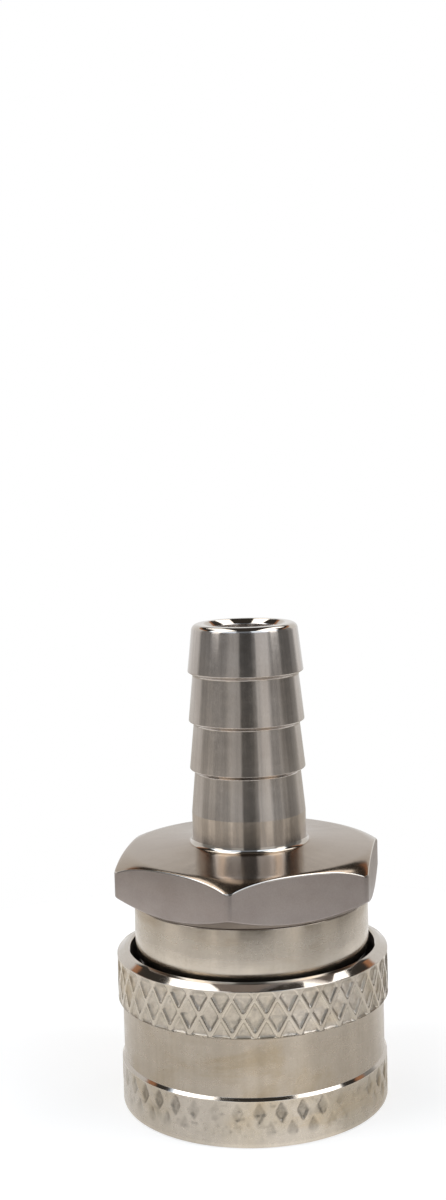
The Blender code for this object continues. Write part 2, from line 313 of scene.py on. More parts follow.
def lathe_grid(name, profile, columns, material, sharp=32.0, phase=0.0, attributes=(), creases=()):
    """A closed solid of revolution from a grid.  profile(azimuth) gives the (r, z) list in mm
    at that azimuth; numpy arrays keep it quick.  attributes are functions of the azimuth too,
    each giving one value per profile point.  creases are the profile points whose circles
    stay sharp."""
    azimuths = np.radians(phase + np.arange(columns) * 360.0 / columns)
    rows = None
    points, extra = [], {key: [] for key, _ in attributes}
    for azimuth in azimuths:
        section = np.asarray(profile(azimuth), float)
        rows = len(section)
        points.append(np.stack([section[:, 0] * math.sin(azimuth), -section[:, 0] * math.cos(azimuth), section[:, 1]], 1))
        for key, function in attributes:
            extra[key].append(function(azimuth))
    co = (np.concatenate(points) * MM).astype(np.float32)
    i = np.arange(columns)[:, None] * rows
    j = np.arange(rows)[None, :]
    i2 = ((np.arange(columns)[:, None] + 1) % columns) * rows
    j2 = (np.arange(rows)[None, :] + 1) % rows
    # the profile runs anticlockwise seen with r to the right and z up
    quads = np.stack([(i + j), (i2 + j), (i2 + j2), (i + j2)], -1).reshape(-1, 4)
    mesh = bpy.data.meshes.new(name)
    mesh.vertices.add(len(co))
    mesh.vertices.foreach_set("co", co.ravel())
    mesh.loops.add(quads.size)
    mesh.loops.foreach_set("vertex_index", quads.ravel().astype(np.int32))
    mesh.polygons.add(len(quads))
    mesh.polygons.foreach_set("loop_start", (np.arange(len(quads)) * 4).astype(np.int32))
    mesh.polygons.foreach_set("loop_total", np.full(len(quads), 4, np.int32))
    mesh.update(calc_edges=True)
    mesh.validate()
    for key, _ in attributes:
        layer = mesh.attributes.new(key, "FLOAT", "POINT")
        layer.data.foreach_set("value", np.concatenate(extra[key]).astype(np.float32))
    piece = place(name, mesh, material, sharp)
    if len(creases):
        ends = np.zeros(len(mesh.edges) * 2, np.int32)
        mesh.edges.foreach_get("vertices", ends)
        ends = ends.reshape(-1, 2) % rows
        kept = np.zeros(len(mesh.edges), bool)
        mesh.edges.foreach_get("use_edge_sharp", kept)
        kept |= (ends[:, 0] == ends[:, 1]) & np.isin(ends[:, 0], creases)
        mesh.edges.foreach_set("use_edge_sharp", kept)
    return piece


def finish_faces(piece, material, where):
    """Gives the faces whose radius and height, in mm, pass where() another finish."""
    mesh = piece.data
    mesh.materials.append(material)
    centre = np.zeros(len(mesh.polygons) * 3, np.float32)
    mesh.polygons.foreach_get("center", centre)
    centre = centre.reshape(-1, 3) / MM
    slots = np.zeros(len(centre), np.int32)
    mesh.polygons.foreach_get("material_index", slots)
    slots[where(np.hypot(centre[:, 0], centre[:, 1]), centre[:, 2])] = len(mesh.materials) - 1
    mesh.polygons.foreach_set("material_index", slots)


def stand_for(piece, node, body):
    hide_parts(node)
    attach(piece, body)
    return piece


def on_axis(radius, azimuth, z):
    return Vector((radius * math.sin(azimuth), -radius * math.cos(azimuth), z)) * MM


# ------------------------------------------------------------------ materials
barb_metal = metal(
    "stainless_turned_bright", (0.53, 0.488, 0.455), (0.47, 0.424, 0.387), 0.19, 0.04,
    lathe=0.0012, lathe_pitch=0.11, axial=0.09, mottle=0.7, anisotropic=0.85, wear_and_sheen="edge",
)
neck_metal = metal(
    "stainless_turned_neck", (0.555, 0.495, 0.44), (0.49, 0.425, 0.37), 0.19, 0.04,
    lathe=0.0012, lathe_pitch=0.11, axial=0.09, mottle=0.7, anisotropic=0.85, wear_and_sheen="edge",
)
faced_metal = metal(
    "stainless_faced", (0.335, 0.27, 0.208), (0.305, 0.24, 0.182), 0.17, 0.04,
    lathe=0.0010, lathe_pitch=0.10, axial=0.04, mottle=0.9, anisotropic=0.8, wear_and_sheen="edge",
)
barrel_metal = metal(
    "stainless_turned_satin", (0.53, 0.475, 0.41), (0.475, 0.42, 0.35), 0.30, 0.05,
    lathe=0.0014, lathe_pitch=0.12, axial=0.04, mottle=0.8, anisotropic=0.6, wear_and_sheen="edge", polished=0.10, stain=(0.42, 0.35, 0.27),
)
hex_metal = metal(
    "stainless_milled", (0.342, 0.302, 0.285), (0.298, 0.258, 0.241), 0.48, 0.06,
    grit=0.004, mottle=1.1, wear_and_sheen="edge", polished=0.2,
)
sleeve_metal = metal(
    "stainless_knurled", (0.53, 0.475, 0.41), (0.475, 0.42, 0.345), 0.32, 0.06,
    lathe=0.0014, lathe_pitch=0.13, axial=0.06, grit=0.012, mottle=0.7, anisotropic=0.4, pocket="pocket", pit="pit", wear_and_sheen="edge",
    stain=(0.43, 0.345, 0.235),
)
waist_metal = metal(
    "stainless_turned_waist", (0.47, 0.41, 0.34), (0.415, 0.355, 0.285), 0.30, 0.06,
    lathe=0.0014, lathe_pitch=0.13, axial=0.07, grit=0.002, mottle=0.7, anisotropic=0.4, stain=(0.36, 0.285, 0.19),
)
# the bore is drawn at about half the brightness of the outer steel: painted shade inside the sleeve
bore_metal = metal(
    "stainless_bore", (0.27, 0.25, 0.225), (0.21, 0.19, 0.17), 0.48, 0.07,
    lathe=0.003, lathe_pitch=0.2, grit=0.003, mottle=1.0,
)
polished_metal = metal(
    "stainless_polished_edge", (0.56, 0.51, 0.455), (0.51, 0.46, 0.40), 0.075, 0.025,
    lathe=0.0005, lathe_pitch=0.08, mottle=1.0, grit=0.0008,
)
ball_metal = metal("stainless_ball", (0.66, 0.66, 0.65), (0.60, 0.60, 0.59), 0.09, 0.03, grit=0.0006, mottle=1.5)
spring_metal = metal("stainless_spring_wire", (0.42, 0.40, 0.38), (0.33, 0.31, 0.29), 0.30, 0.07, grit=0.002, mottle=2.5)
ring_metal = metal("stainless_snap_ring", (0.47, 0.45, 0.43), (0.39, 0.37, 0.35), 0.32, 0.07, grit=0.003, mottle=2.0)
silicone = soft_seal("silicone_seal", (0.43, 0.085, 0.045), (0.50, 0.13, 0.075), 0.5, 0.004)
ptfe = soft_seal("ptfe_gasket", (0.86, 0.85, 0.81), (0.80, 0.79, 0.74), 0.42, 0.003)


# ------------------------------------------------------------------ hose barb adapter
HEX_AF, HEX_LOW, HEX_HIGH = 30.0, 24.85, 31.5
HEX_CHAMFER = math.tan(math.radians(31))
CROWN_START = 14.4
HEX_COLUMNS = 432  # 72 on each flat


def hex_radius(azimuth):
    """Out to the flat, and the angle in degrees from the nearest corner; adapter_section breaks the corners by a small
    radius.
    """
    from_corner = (math.degrees(azimuth) + 30.0) % 60.0 - 30.0
    from_flat = math.radians(30.0 - abs(from_corner))
    return HEX_AF / 2 / math.cos(from_flat), abs(from_corner)


def hex_top(r):
    """The hex's top face falls gently from the neck and rolls over towards the corners."""
    over = max(0.0, r - CROWN_START)
    return HEX_HIGH - 0.0875 * max(0.0, r - 7.9) - 0.146 * over * over


def adapter_section(azimuth):
    out_r, from_corner = hex_radius(azimuth)
    corner = HEX_AF / 2 / math.cos(math.radians(30))
    soft = 0.2 * max(0.0, 1.0 - from_corner / 1.5) ** 2
    out_r -= soft
    low = HEX_LOW + (out_r - 14.35) * HEX_CHAMFER
    high = hex_top(out_r)
    points = [
        (11.4, 19.45, 0.1), (12.0, 20.05, 0.1), (12.0, 23.5), (11.2, 24.1), (11.2, HEX_LOW),
        (14.35, HEX_LOW, 0.12), (out_r, low, 0.22, 5), (out_r, high, 0.36, 5),
    ]
    points += [(r, hex_top(r)) for r in np.linspace(out_r - 0.4, CROWN_START - 0.3, 9)]
    points += [
        (11.0, hex_top(11.0)), (6.9, HEX_HIGH + 0.0875, 0.7), (6.9, 35.3, 0.3),
    ]
    for z in (40.45, 46.25, 52.2):
        points += [(6.42, z - 0.2, 0.25), (7.0, z + 0.18, 0.12)]
    points += [(6.35, 58.1, 0.75), (4.95, 58.1, 0.12), (4.4, 57.5, 0.15), (4.4, 25.2, 0.5), (7.5, 19.75), (7.8, 19.45)]
    return points


ADAPTER_COUNT = len(rounded(adapter_section(math.radians(30))))


def adapter_profile(azimuth):
    made = rounded(adapter_section(azimuth))
    return made


def curvature_edge(section):
    """1 at a profile point that turns sharply outwards, which handling polishes; the metal also draws it lighter, a
    painted highlight.
    """
    p = np.asarray(section, float)
    a, b = p - np.roll(p, 1, 0), np.roll(p, -1, 0) - p
    cross = a[:, 0] * b[:, 1] - a[:, 1] * b[:, 0]
    dot = (a * b).sum(1)
    turn = np.degrees(np.arctan2(cross, dot))
    return np.clip(turn / 18.0, 0.0, 1.0)


def build_adapter():
    counts = {len(adapter_profile(math.radians(d))) for d in (0.0, 0.8333, 5.0, 15.0, 29.17, 30.0)}
    if len(counts) != 1:
        raise RuntimeError(f"the adapter's section changes its point count: {counts}")
    piece = lathe_grid(
        "hose_barb_adapter_fine", adapter_profile, HEX_COLUMNS, barb_metal, 40.0,
        attributes=(("edge", lambda a: curvature_edge(adapter_profile(a))),),
    )
    mesh = piece.data
    mesh.materials.append(hex_metal)
    mesh.materials.append(faced_metal)
    mesh.materials.append(polished_metal)
    mesh.materials.append(neck_metal)
    centre = np.zeros(len(mesh.polygons) * 3, np.float32)
    mesh.polygons.foreach_get("center", centre)
    centre = centre.reshape(-1, 3) / MM
    r = np.hypot(centre[:, 0], centre[:, 1])
    slots = np.zeros(len(centre), np.int32)
    upward = np.zeros(len(mesh.polygons) * 3, np.float32)
    mesh.polygons.foreach_get("normal", upward)
    upward = upward.reshape(-1, 3)[:, 2]
    slots[(centre[:, 2] < HEX_HIGH + 0.02) & (r > 12.5)] = 1
    slots[(centre[:, 2] > HEX_HIGH - 2.6) & (centre[:, 2] < HEX_HIGH + 0.35) & (r > 7.2) & (upward > 0.66)] = 2
    slots[(centre[:, 2] > HEX_HIGH - 0.06) & (centre[:, 2] < HEX_HIGH + 1.2) & (r > 6.91) & (r < 7.2)] = 3
    slots[(centre[:, 2] > HEX_HIGH + 0.7) & (centre[:, 2] < 35.3) & (r > 6.5) & (r < 6.91)] = 4
    slots[(centre[:, 2] > 28.5) & (centre[:, 2] < HEX_HIGH) & (r > 14.4) & (upward > 0.12) & (upward < 0.66)] = 3
    slots[(centre[:, 2] > 57.6) & (r > 4.45)] = 3
    mesh.polygons.foreach_set("material_index", slots)
    return stand_for(piece, "hose_barb_adapter", "socket")


# ------------------------------------------------------------------ socket body
BALLS, BALL_Z, BALL_R, BALL_CENTRE_R = 12, 7.8, 1.985, 10.615
BODY = [
    (12.1, 0.2, 0.12), (12.5, 0.6, 0.12), (12.5, 1.2, 0.05), (11.9, 1.2), (11.9, 2.5), (12.5, 2.5, 0.05),
    (12.5, 18.2), (13.95, 18.2, 0.1), (14.1, 18.5, 0.1), (14.18, 19.0), (14.225, 19.45), (14.24, 19.9), (14.24, 20.7), (14.24, 21.6), (14.22, 24.75, 0.15),
    (12.8, 24.75), (12.2, 24.15), (12.2, 18.4), (8.1, 18.4, 0.06), (8.1, 17.0, 0.04), (10.5, 17.0), (10.5, 13.7),
    (8.1, 13.7, 0.04), (8.1, 12.7, 0.08), (8.6, 12.2, 0.08), (9.7, 12.2), (9.7, 0.9, 0.12), (10.4, 0.2, 0.12),
]


def ball_hole_cutter():
    stations = [(8.9, 1.5167), (10.3, 2.1), (13.6, 2.1)]
    sides = 40
    bm = bmesh.new()
    for n in range(BALLS):
        turn = Matrix.Rotation(2 * math.pi * n / BALLS, 4, "Z")
        rings = []
        for out, radius in stations:
            rings.append([
                bm.verts.new(turn @ (Vector((
                    radius * math.cos(2 * math.pi * (k + 0.37) / sides), -out,
                    BALL_Z + radius * math.sin(2 * math.pi * (k + 0.37) / sides))) * MM))
                for k in range(sides)
            ])
        for one, two in zip(rings, rings[1:]):
            for k in range(sides):
                m = (k + 1) % sides
                bm.faces.new((one[k], one[m], two[m], two[k]))
        bm.faces.new(rings[0])
        bm.faces.new(rings[-1])
    bmesh.ops.recalc_face_normals(bm, faces=bm.faces)
    mesh = bpy.data.meshes.new("ball_hole_cutter")
    bm.to_mesh(mesh)
    bm.free()
    made = bpy.data.objects.new("ball_hole_cutter", mesh)
    scene.collection.objects.link(made)
    return made


def build_body():
    section = rounded(BODY)
    # the sleeve's rim has rubbed the barrel's lower end smoother, and it is drawn lighter there, a painted highlight
    wear_and_sheen = np.maximum(curvature_edge(section), [0.6 * smooth(21.6 - z, 0.0, 1.6) if r > 13.9 else 0.0 for r, z in section])
    piece = lathe_grid(
        "socket_body_fine", lambda a: section, 240, barrel_metal, None,
        attributes=(("edge", lambda a: wear_and_sheen),),
    )
    cutter = ball_hole_cutter()
    cut = piece.modifiers.new("ball_holes", "BOOLEAN")
    cut.operation, cut.solver, cut.object = "DIFFERENCE", "EXACT", cutter
    graph = bpy.context.evaluated_depsgraph_get()
    mesh = bpy.data.meshes.new_from_object(piece.evaluated_get(graph), preserve_all_data_layers=True, depsgraph=graph)
    piece.modifiers.clear()
    piece.data = mesh
    bpy.data.objects.remove(cutter)
    mesh.shade_smooth()
    mesh.set_sharp_from_angle(angle=math.radians(32))
    return stand_for(piece, "socket_body", "socket")


# ------------------------------------------------------------------ locking sleeve
KNURLS, KNURL_ANGLE = 40, math.radians(30)
PITCH = 2 * math.pi * 16.5 / KNURLS  # round the sleeve, in mm
HALF_HEIGHT = PITCH / 2 / math.tan(KNURL_ANGLE)
SLEEVE_COLUMNS = KNURLS * 20


def pocket_depth(azimuth, z, crossing_z, crossing_azimuth, rib, wall):
    """0 on a rib, 1 on the floor of a diamond pocket.  Two families of straight ribs cross
    at crossing_azimuth, crossing_z and at every pitch from there."""
    s = (azimuth - math.radians(crossing_azimuth)) * 16.5
    depth = None
    for sign in (1.0, -1.0):
        off = (s + sign * (z - crossing_z) * math.tan(KNURL_ANGLE)) / PITCH
        off = np.abs(off - np.round(off)) * PITCH * math.cos(KNURL_ANGLE)  # to the nearest rib's centre line
        t = np.clip((off - rib / 2) / wall, 0.0, 1.0)
        t = t * t * (3 - 2 * t)
        depth = t if depth is None else depth * t
    return depth


def smooth(x, low, high):
    t = np.clip((x - low) / (high - low), 0.0, 1.0)
    return t * t * (3 - 2 * t)


def uneven(azimuth, *terms):
    """A slow, repeatable unevenness round the sleeve, -1 to 1."""
    total = sum(w * math.sin(n * azimuth + shift) for n, w, shift in terms)
    return total / sum(abs(w) for _, w, _ in terms)


GRAIN = np.random.default_rng(11).uniform(-1.0, 1.0, (4, 200, 40))


def dents(azimuth, z, layer):
    """Small irregular dents, -1 to 1, about half a millimetre apart."""
    u = (azimuth / (2 * math.pi)) % 1.0 * 200
    i = int(u) % 200
    v = np.clip(np.asarray(z) / 0.5, 0, 38.99)
    j = v.astype(int)
    f, g = u - int(u), v - j
    f, g = f * f * (3 - 2 * f), g * g * (3 - 2 * g)
    a, b = GRAIN[layer, i], GRAIN[layer, (i + 1) % 200]
    return (a[j] * (1 - f) + b[j] * f) * (1 - g) + (a[j + 1] * (1 - f) + b[j + 1] * f) * g


UPPER = np.arange(12.90, 18.2201, 0.11)
LOWER = np.arange(0.62, 5.3601, 0.11)


def upper_band(azimuth):
    p = pocket_depth(azimuth, UPPER, 15.36, 4.5, 0.42, 0.15)
    press = 0.9 + 0.1 * uneven(azimuth, (2, 1.0, 0.4), (5, 0.6, 2.0))
    fade = smooth(UPPER, 12.91, 13.1) * (1 - 0.8 * smooth(UPPER, 17.6, 18.2))
    press *= 1 - 0.45 * smooth(abs((math.degrees(azimuth) + 72 + 180) % 360 - 180), 34, 20)
    return (0.29 * press + 0.05 * dents(azimuth, UPPER, 1)) * p * fade, p * fade


def lower_band(azimuth):
    """The lower band's knurl was pressed unevenly and less deeply, and runs out towards the edge."""
    press = 0.5 + 0.5 * math.sin(6 * azimuth - math.radians(54)) + 0.12 * uneven(azimuth, (5, 1.0, 0.3), (11, 0.6, 2.0))
    row = 0.5 + 0.5 * np.sin(LOWER * 2.1 + 3.0 * math.sin(4 * azimuth + 0.6) + 1.3 * math.sin(11 * azimuth))
    strength = np.clip(0.16 + 1.0 * press - 0.4 * row * (LOWER < 3.2) + 0.25 * dents(azimuth, LOWER, 2), 0.0, 1.0)
    p = pocket_depth(azimuth, LOWER, 4.15 + HALF_HEIGHT, 9.8, 0.66, 0.36)
    fade = smooth(LOWER, 0.9, 2.9) * (1 - smooth(LOWER, 5.1, 5.45))
    nicks = np.clip(dents(azimuth, LOWER, 3) - 0.35, 0.0, 1.0) * smooth(LOWER, 0.8, 2.2) * (1 - smooth(LOWER, 4.9, 5.3))
    return 0.22 * p * strength * fade + 0.07 * nicks, np.clip(p * fade * strength + 0.8 * nicks, 0.0, 1.0)


def sleeve_profile_parts():
    outer_low = rounded([(15.05, 0.0), (16.25, 0.0, 0.35), (16.25, 0.62)], closed=False)[1:-1]
    step = rounded([(16.25, 5.3), (16.25, 5.5, 0.05), (15.95, 5.82, 0.05), (15.95, 6.6)], closed=False)[1:-1]
    up = rounded([(15.95, 12.2), (15.95, 12.62, 0.15), (16.5, 12.88, 0.10), (16.5, 13.4)], closed=False)[1:-1]
    top = rounded([
        (16.5, 17.6), (16.5, 18.30, 0.10), (15.62, 18.86, 0.14), (15.15, 19.0, 0.12), (14.9, 18.8, 0.1),
        (14.9, 17.9), (15.0, 17.7), (15.0, 8.9), (12.85, 8.9), (12.85, 7.3), (13.8, 5.65), (13.8, 2.5), (14.7, 2.5), (14.7, 0.35, 0.1), (15.05, 0.0, 0.12), (16.25, 0.0),
    ], closed=False)[1:-1]
    waist = [(15.95, z) for z in np.linspace(6.7, 12.2, 9)]
    return outer_low, step, waist, up, top


OUTER_LOW, STEP, WAIST, UP, TOP = sleeve_profile_parts()


def sleeve_profile(azimuth):
    lower, _ = lower_band(azimuth)
    upper, _ = upper_band(azimuth)
    return np.concatenate([
        OUTER_LOW,
        np.stack([16.25 - lower, LOWER], 1),
        STEP, WAIST, UP,
        np.stack([16.5 - upper, UPPER], 1),
        TOP,
    ])


def sleeve_pocket(azimuth):
    _, upper = upper_band(azimuth)
    below = len(OUTER_LOW) + len(LOWER) + len(STEP) + len(WAIST) + len(UP)
    return np.concatenate([np.zeros(below), upper, np.zeros(len(TOP))])


def sleeve_pit(azimuth):
    _, lower = lower_band(azimuth)
    above = len(STEP) + len(WAIST) + len(UP) + len(UPPER) + len(TOP)
    return np.concatenate([np.zeros(len(OUTER_LOW)), lower, np.zeros(above)])


def sleeve_edge(azimuth):
    lower, _ = lower_band(azimuth)
    upper, _ = upper_band(azimuth)
    made = np.concatenate([
        curvature_edge(OUTER_LOW), np.zeros(len(LOWER)), np.ones(len(STEP)), np.zeros(len(WAIST)), curvature_edge(UP),
        np.zeros(len(UPPER)), np.array([1.0 if z > 18.2 and r > 14.9 else 0.0 for r, z in TOP]),
    ])
    first = len(OUTER_LOW)
    # the ribs' tops count as worn edges: polished, and drawn lighter as a painted highlight
    ribs_low = (1 - np.clip(lower / 0.05, 0, 1)) * 0.35
    made[first:first + len(LOWER)] = ribs_low * 0.6
    start = first + len(LOWER) + len(STEP) + len(WAIST) + len(UP)
    made[start:start + len(UPPER)] = (1 - np.clip(upper / 0.05, 0, 1)) * 0.5
    made[-1] = 0.0
    return made


def facet_ends(section, low, high, inside):
    """The two ends of the longest straight piece of a section between two heights, which
    keeps a turned chamfer flat in its shading."""
    best, found = 0.0, ()
    for i in range(len(section) - 1):
        (r1, z1), (r2, z2) = section[i], section[i + 1]
        length = math.hypot(r2 - r1, z2 - z1)
        if min(z1, z2) > low and max(z1, z2) < high and min(r1, r2) > inside and length > best:
            best, found = length, (i, i + 1)
    return found


def build_sleeve():
    section = sleeve_profile(0.0)
    creases = facet_ends(section, 18.25, 18.95, 15.4) + facet_ends(section, 5.45, 5.9, 15.9)
    piece = lathe_grid(
        "locking_sleeve_fine", sleeve_profile, SLEEVE_COLUMNS, sleeve_metal, None,
        attributes=(("pocket", sleeve_pocket), ("pit", sleeve_pit), ("edge", sleeve_edge)), creases=creases,
    )
    finish_faces(piece, polished_metal, lambda r, z: ((z > 18.26) & (r > 14.95)) | ((z > 5.46) & (z < 5.9) & (r > 15.9)))
    # painted shade: the sleeve's inside takes the darker bore metal
    finish_faces(piece, bore_metal, lambda r, z: (z < 18.75) & (r < 15.02))
    finish_faces(piece, waist_metal, lambda r, z: (z > 5.9) & (z < 12.6) & (r > 15.9))
    return stand_for(piece, "locking_sleeve", "sleeve")


# ------------------------------------------------------------------ spring, ring, balls, seals
WIRE_R, COIL_R, SPRING_LOW, SPRING_HIGH, TURNS = 0.48, 13.4, 9.0, 18.1, 3.25


def spring_height(turn):
    total = SPRING_HIGH - SPRING_LOW - 2 * WIRE_R
    dead_turns, dead_pitch = 0.75, 1.0
    dead = dead_turns * dead_pitch
    rise = (total - 2 * dead) / (TURNS - 2 * dead_turns)
    if turn < dead_turns:
        return turn * dead_pitch
    if turn < TURNS - dead_turns:
        return dead + (turn - dead_turns) * rise
    return total - (TURNS - turn) * dead_pitch


def build_spring():
    """Wound wire with flat ground ends."""
    bm = bmesh.new()
    steps, sides = int(TURNS * 72), 20
    rings = []
    smooth_height = []
    for i in range(steps + 1):
        turn = TURNS * i / steps
        # the rise sets in over a twelfth of a turn
        samples = [spring_height(min(TURNS, max(0.0, turn + d * 0.04))) for d in range(-3, 4)]
        smooth_height.append(sum(samples) / len(samples))
    for i in range(steps + 1):
        azimuth = 2 * math.pi * TURNS * i / steps + math.radians(40)
        z = SPRING_LOW + WIRE_R + smooth_height[i]
        ring = []
        for k in range(sides):
            a = 2 * math.pi * k / sides
            r = COIL_R + WIRE_R * math.cos(a)
            h = min(max(z + WIRE_R * math.sin(a), SPRING_LOW + 0.01), SPRING_HIGH - 0.01)
            ring.append(bm.verts.new(on_axis(r, azimuth, h)))
        rings.append(ring)
    for one, two in zip(rings, rings[1:]):
        for k in range(sides):
            m = (k + 1) % sides
            bm.faces.new((one[k], one[m], two[m], two[k]))
    bm.faces.new(rings[0])
    bm.faces.new(rings[-1])
    piece = finish_mesh("sleeve_spring_fine", bm, spring_metal, 50)
    stand_for(piece, "sleeve_spring", "spring")
    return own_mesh(piece)


def build_ring():
    """Flat spring-steel ring with rounded edges and two square ends."""
    section = rounded([(12.0, 1.3, 0.12), (14.3, 1.3, 0.18), (14.3, 2.4, 0.18), (12.0, 2.4, 0.12)])
    gap = math.radians(math.degrees(4.0 / 14.3))
    columns = 180
    bm = bmesh.new()
    grid = []
    for i in range(columns + 1):
        azimuth = math.pi + gap / 2 + (2 * math.pi - gap) * i / columns
        grid.append([bm.verts.new(on_axis(r, azimuth, z)) for r, z in section])
    rows = len(section)
    for one, two in zip(grid, grid[1:]):
        for j in range(rows):
            k = (j + 1) % rows
            bm.faces.new((one[j], two[j], two[k], one[k]))
    bm.faces.new(grid[0])
    bm.faces.new(grid[-1])
    piece = finish_mesh("retaining_ring_fine", bm, ring_metal, 50)
    return stand_for(piece, "retaining_ring", "socket")


def build_balls():
    for n in range(BALLS):
        azimuth = 2 * math.pi * n / BALLS
        bm = bmesh.new()
        bmesh.ops.create_icosphere(bm, subdivisions=5, radius=BALL_R * MM)
        for v in bm.verts:
            v.co += on_axis(BALL_CENTRE_R, azimuth, BALL_Z)
        piece = finish_mesh(f"locking_ball_{n + 1:02d}_fine", bm, ball_metal, None)
        stand_for(piece, f"locking_ball_{n + 1:02d}", f"ball_{n + 1:02d}")


def build_oring():
    """Moulded ring with the faint flash line of its mould round the inside and the outside."""
    section = []
    for k in range(96):
        a = 2 * math.pi * k / 96
        r = 1.28 + 0.018 * math.exp(-(math.sin(a) / 0.05) ** 2)
        section.append((9.08 + r * math.cos(a), 15.35 + r * math.sin(a)))
    piece = lathe_grid("plug_oring_fine", lambda a: section, 240, silicone, None)
    return stand_for(piece, "plug_oring", "socket")


def build_gasket():
    section = rounded([(8.4, 18.5, 0.15), (11.9, 18.5, 0.15), (11.9, 19.35, 0.15), (8.4, 19.35, 0.15)])
    piece = lathe_grid("adapter_gasket_fine", lambda a: section, 180, ptfe, 50)
    return stand_for(piece, "adapter_gasket", "socket")


build_adapter()
build_body()
build_sleeve()
build_spring()
build_ring()
build_balls()
build_oring()
build_gasket()


# ------------------------------------------------------------------ camera
K = 1.03
CAMERA_AZIMUTH = math.radians(8.65)
PITCH_DOWN, ROLL = math.radians(5.234), math.radians(1.4176)
camera_data = bpy.data.cameras.new("camera")
camera = bpy.data.objects.new("camera", camera_data)
scene.collection.objects.link(camera)
spin = Matrix.Rotation(CAMERA_AZIMUTH, 3, "Z")
forward = spin @ Vector((0, math.cos(PITCH_DOWN), -math.sin(PITCH_DOWN)))
right = spin @ Vector((1, 0, 0))
up = spin @ Vector((0, math.sin(PITCH_DOWN), math.cos(PITCH_DOWN)))
rolled_right = math.cos(ROLL) * right - math.sin(ROLL) * up
rolled_up = math.sin(ROLL) * right + math.cos(ROLL) * up
eye = spin @ Vector((0, -175.573 * K, 75.139 * K)) * MM
camera.matrix_world = Matrix((
    (rolled_right.x, rolled_up.x, -forward.x, eye.x),
    (rolled_right.y, rolled_up.y, -forward.y, eye.y),
    (rolled_right.z, rolled_up.z, -forward.z, eye.z),
    (0, 0, 0, 1),
))
camera_data.sensor_fit = "AUTO"
camera_data.sensor_width = 36.0
camera_data.lens = 1512.823 * 36.0 / 1200.0
camera_data.shift_x = -20.7 / 1200.0
camera_data.clip_start, camera_data.clip_end = 0.005, 10.0
camera_data.dof.use_dof = False
scene.camera = camera


# ------------------------------------------------------------------ studio
scene.view_settings.view_transform = "Standard"
scene.view_settings.look = "None"
scene.view_settings.exposure = 0.0
scene.view_settings.gamma = 1.0


def build_floor():
    """A pale round table top that glows: evenly for the camera, and as painted light, uneven round the object, for the
    metal that reflects it.
    """
    bm = bmesh.new()
    bmesh.ops.create_circle(bm, cap_ends=True, segments=128, radius=0.09)
    mesh = bpy.data.meshes.new("floor")
    bm.to_mesh(mesh)
    bm.free()
    floor = bpy.data.objects.new("floor", mesh)
    scene.collection.objects.link(floor)
    made = bpy.data.materials.new("floor_pale_glowing")
    made.use_nodes = True
    t = Tree(made.node_tree)
    out = t.node("ShaderNodeOutputMaterial")
    parts = t.node("ShaderNodeSeparateXYZ")
    t.put(parts.inputs[0], t.node("ShaderNodeTexCoord").outputs["Object"])
    px, py = parts.outputs[0], parts.outputs[1]
    c, s_ = math.cos(CAMERA_AZIMUTH), math.sin(CAMERA_AZIMUTH)
    across = t.math("ADD", t.math("MULTIPLY", px, -s_), t.math("MULTIPLY", py, c))
    side = t.math("ADD", t.math("MULTIPLY", px, c), t.math("MULTIPLY", py, s_))
    from_axis = t.math("SQRT", t.math("ADD", t.math("MULTIPLY", px, px), t.math("MULTIPLY", py, py)))
    # painted light: as the metal sees it, the floor glows brighter on the left, and falls off to the right
    azimuth = t.math("MULTIPLY", t.math("ARCTAN2", side, t.math("MULTIPLY", across, -1.0)), 180.0 / math.pi)
    far = round_the_room(t, azimuth, [(-60.0, 33.0, 16.0, 0.92), (-16.0, 10.0, 10.0, 0.77), (2.0, 8.0, 8.0, 0.84), (20.0, 9.0, 9.0, 0.69), (60.0, 31.0, 14.0, 0.46), (180.0, 90.0, 24.0, 0.77)])
    near = round_the_room(t, azimuth, [(-60.0, 45.0, 24.0, 0.66), (0.0, 15.0, 12.0, 0.92), (27.0, 12.0, 12.0, 0.90), (75.0, 36.0, 14.0, 0.61), (180.0, 70.0, 24.0, 0.74)])
    outward = t.ramp(from_axis, 0.046, 0.066)
    lit = t.math("ADD", t.math("MULTIPLY", far, outward), t.math("MULTIPLY", near, t.math("SUBTRACT", 1.0, outward)))
    # the camera sees the floor glow evenly; every other ray sees the painted light above
    seen = t.node("ShaderNodeLightPath")
    level = t.node("ShaderNodeMix", data_type="FLOAT")
    for socket, value in zip(level.inputs[:1] + level.inputs[2:4], (seen.outputs["Is Camera Ray"], t.math("SUBTRACT", lit, 0.19), 0.57)):
        t.put(socket, value)
    diffuse = t.node("ShaderNodeBsdfDiffuse")
    glow = t.node("ShaderNodeEmission")
    diffuse.inputs["Color"].default_value = (0.5, 0.496, 0.488, 1.0)
    colour = t.node("ShaderNodeVectorMath", operation="SCALE")
    t.put(colour.inputs[0], t.mix(seen.outputs["Is Camera Ray"], (1.0, 0.985, 0.955), (1.0, 1.0, 1.0)))
    t.put(colour.inputs["Scale"], level.outputs[0])
    t.put(glow.inputs["Color"], colour.outputs[0])
    glow.inputs["Strength"].default_value = 1.0
    both = t.node("ShaderNodeAddShader")
    t.tree.links.new(diffuse.outputs[0], both.inputs[0])
    t.tree.links.new(glow.outputs[0], both.inputs[1])
    t.tree.links.new(both.outputs[0], out.inputs[0])
    mesh.materials.append(made)


# The room as the metal sees it, by azimuth from the camera's side: (centre, half width, soft edge, brightness), in degrees.
ROOM = [
    (-72.0, 37.0, 10.0, 0.27),  # wall on the left
    (-126.0, 17.0, 14.0, 0.84),  # its far end
    (-25.0, 12.0, 5.0, 0.48),  # narrow light panel, front left
    (1.0, 12.5, 4.0, 0.08),  # camera and its stand
    (17.5, 3.5, 4.0, 0.17),  # edge of the right panel
    (36.0, 14.0, 9.0, 0.74),  # light panel, front right
    (63.0, 11.0, 8.0, 0.36),  # wall on the right
    (92.0, 14.0, 8.0, 0.15),  # black card on the right
    (116.0, 8.0, 8.0, 0.31),
    (180.0, 52.0, 24.0, 0.95),  # white backdrop
]
